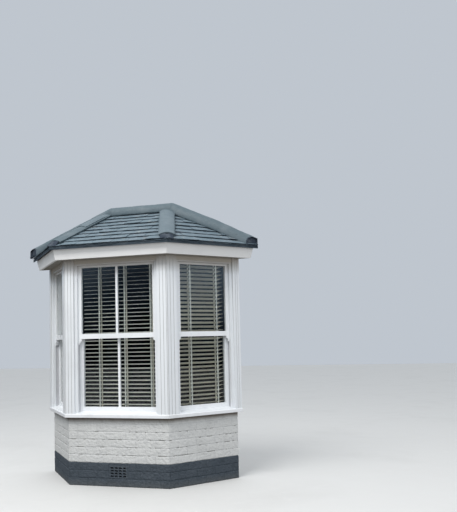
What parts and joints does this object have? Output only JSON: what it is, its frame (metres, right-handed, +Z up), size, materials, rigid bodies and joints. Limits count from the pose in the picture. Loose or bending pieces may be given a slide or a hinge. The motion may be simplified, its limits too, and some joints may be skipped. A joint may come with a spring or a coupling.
{
  "type": "bay window",
  "caption": "Canted ground-floor bay window: painted brick base, vertical sliding sash windows with slatted blinds, and a hipped slate roof that leans on the house wall.",
  "frame": {"origin": "middle of the bounding box in plan, at the underside of the plinth", "axes": "+Z up; +Y towards the house wall and the room; -Y faces the street; +X to the right seen from the street"},
  "size_m": [2.879, 0.868, 3.1356],
  "materials": {
    "painted_plinth": "masonry paint, dark blue-grey, over brickwork",
    "painted_air_brick": "masonry paint, dark blue-grey",
    "painted_brick": "masonry paint, pale grey, over brickwork",
    "painted_timber": "white gloss paint, weathered",
    "painted_sash": "white gloss paint",
    "painted_board": "white satin paint",
    "soffit_paint": "white paint, dull and dusty",
    "glass": "clear, polished",
    "blind": "painted slats with woven tapes",
    "plaster": "painted plasterboard",
    "bare_timber": "sawn softwood",
    "roof_slate": "blue-grey coated slate, rough",
    "roof_tile": "blue-grey coated, smooth"
  },
  "bodies": {
    "root": {"plinth_left": "painted_plinth", "plinth_front": "painted_plinth", "plinth_right": "painted_plinth", "airbrick": "painted_air_brick", "brick_left": "painted_brick", "brick_front": "painted_brick", "brick_right": "painted_brick", "sill_left": "painted_timber", "sill_front": "painted_timber", "sill_right": "painted_timber", "sill_board": "painted_board", "post_left": "painted_timber", "post_right": "painted_timber", "wall_post_left": "painted_timber", "wall_post_right": "painted_timber", "frame_left": "painted_timber", "frame_front": "painted_timber", "frame_right": "painted_timber", "upper_sash_left": "painted_sash", "upper_sash_front": "painted_sash", "upper_sash_right": "painted_sash", "lower_sash_left": "painted_sash", "lower_sash_front": "painted_sash", "lower_sash_right": "painted_sash", "glass_left": "glass", "glass_front": "glass", "glass_right": "glass", "blind_left": "blind", "blind_front": "blind", "blind_right": "blind", "head_beam": "painted_timber", "soffit": "soffit_paint", "fascia_left": "painted_timber", "fascia_front": "painted_timber", "fascia_right": "painted_timber", "ceiling": "plaster", "rafters": "bare_timber", "roof_deck": "bare_timber", "slates_left": "roof_slate", "slates_front": "roof_slate", "slates_right": "roof_slate", "hip_tiles": "roof_tile", "top_capping": "roof_tile", "side_cappings": "roof_tile"}
  },
  "joints": []
}
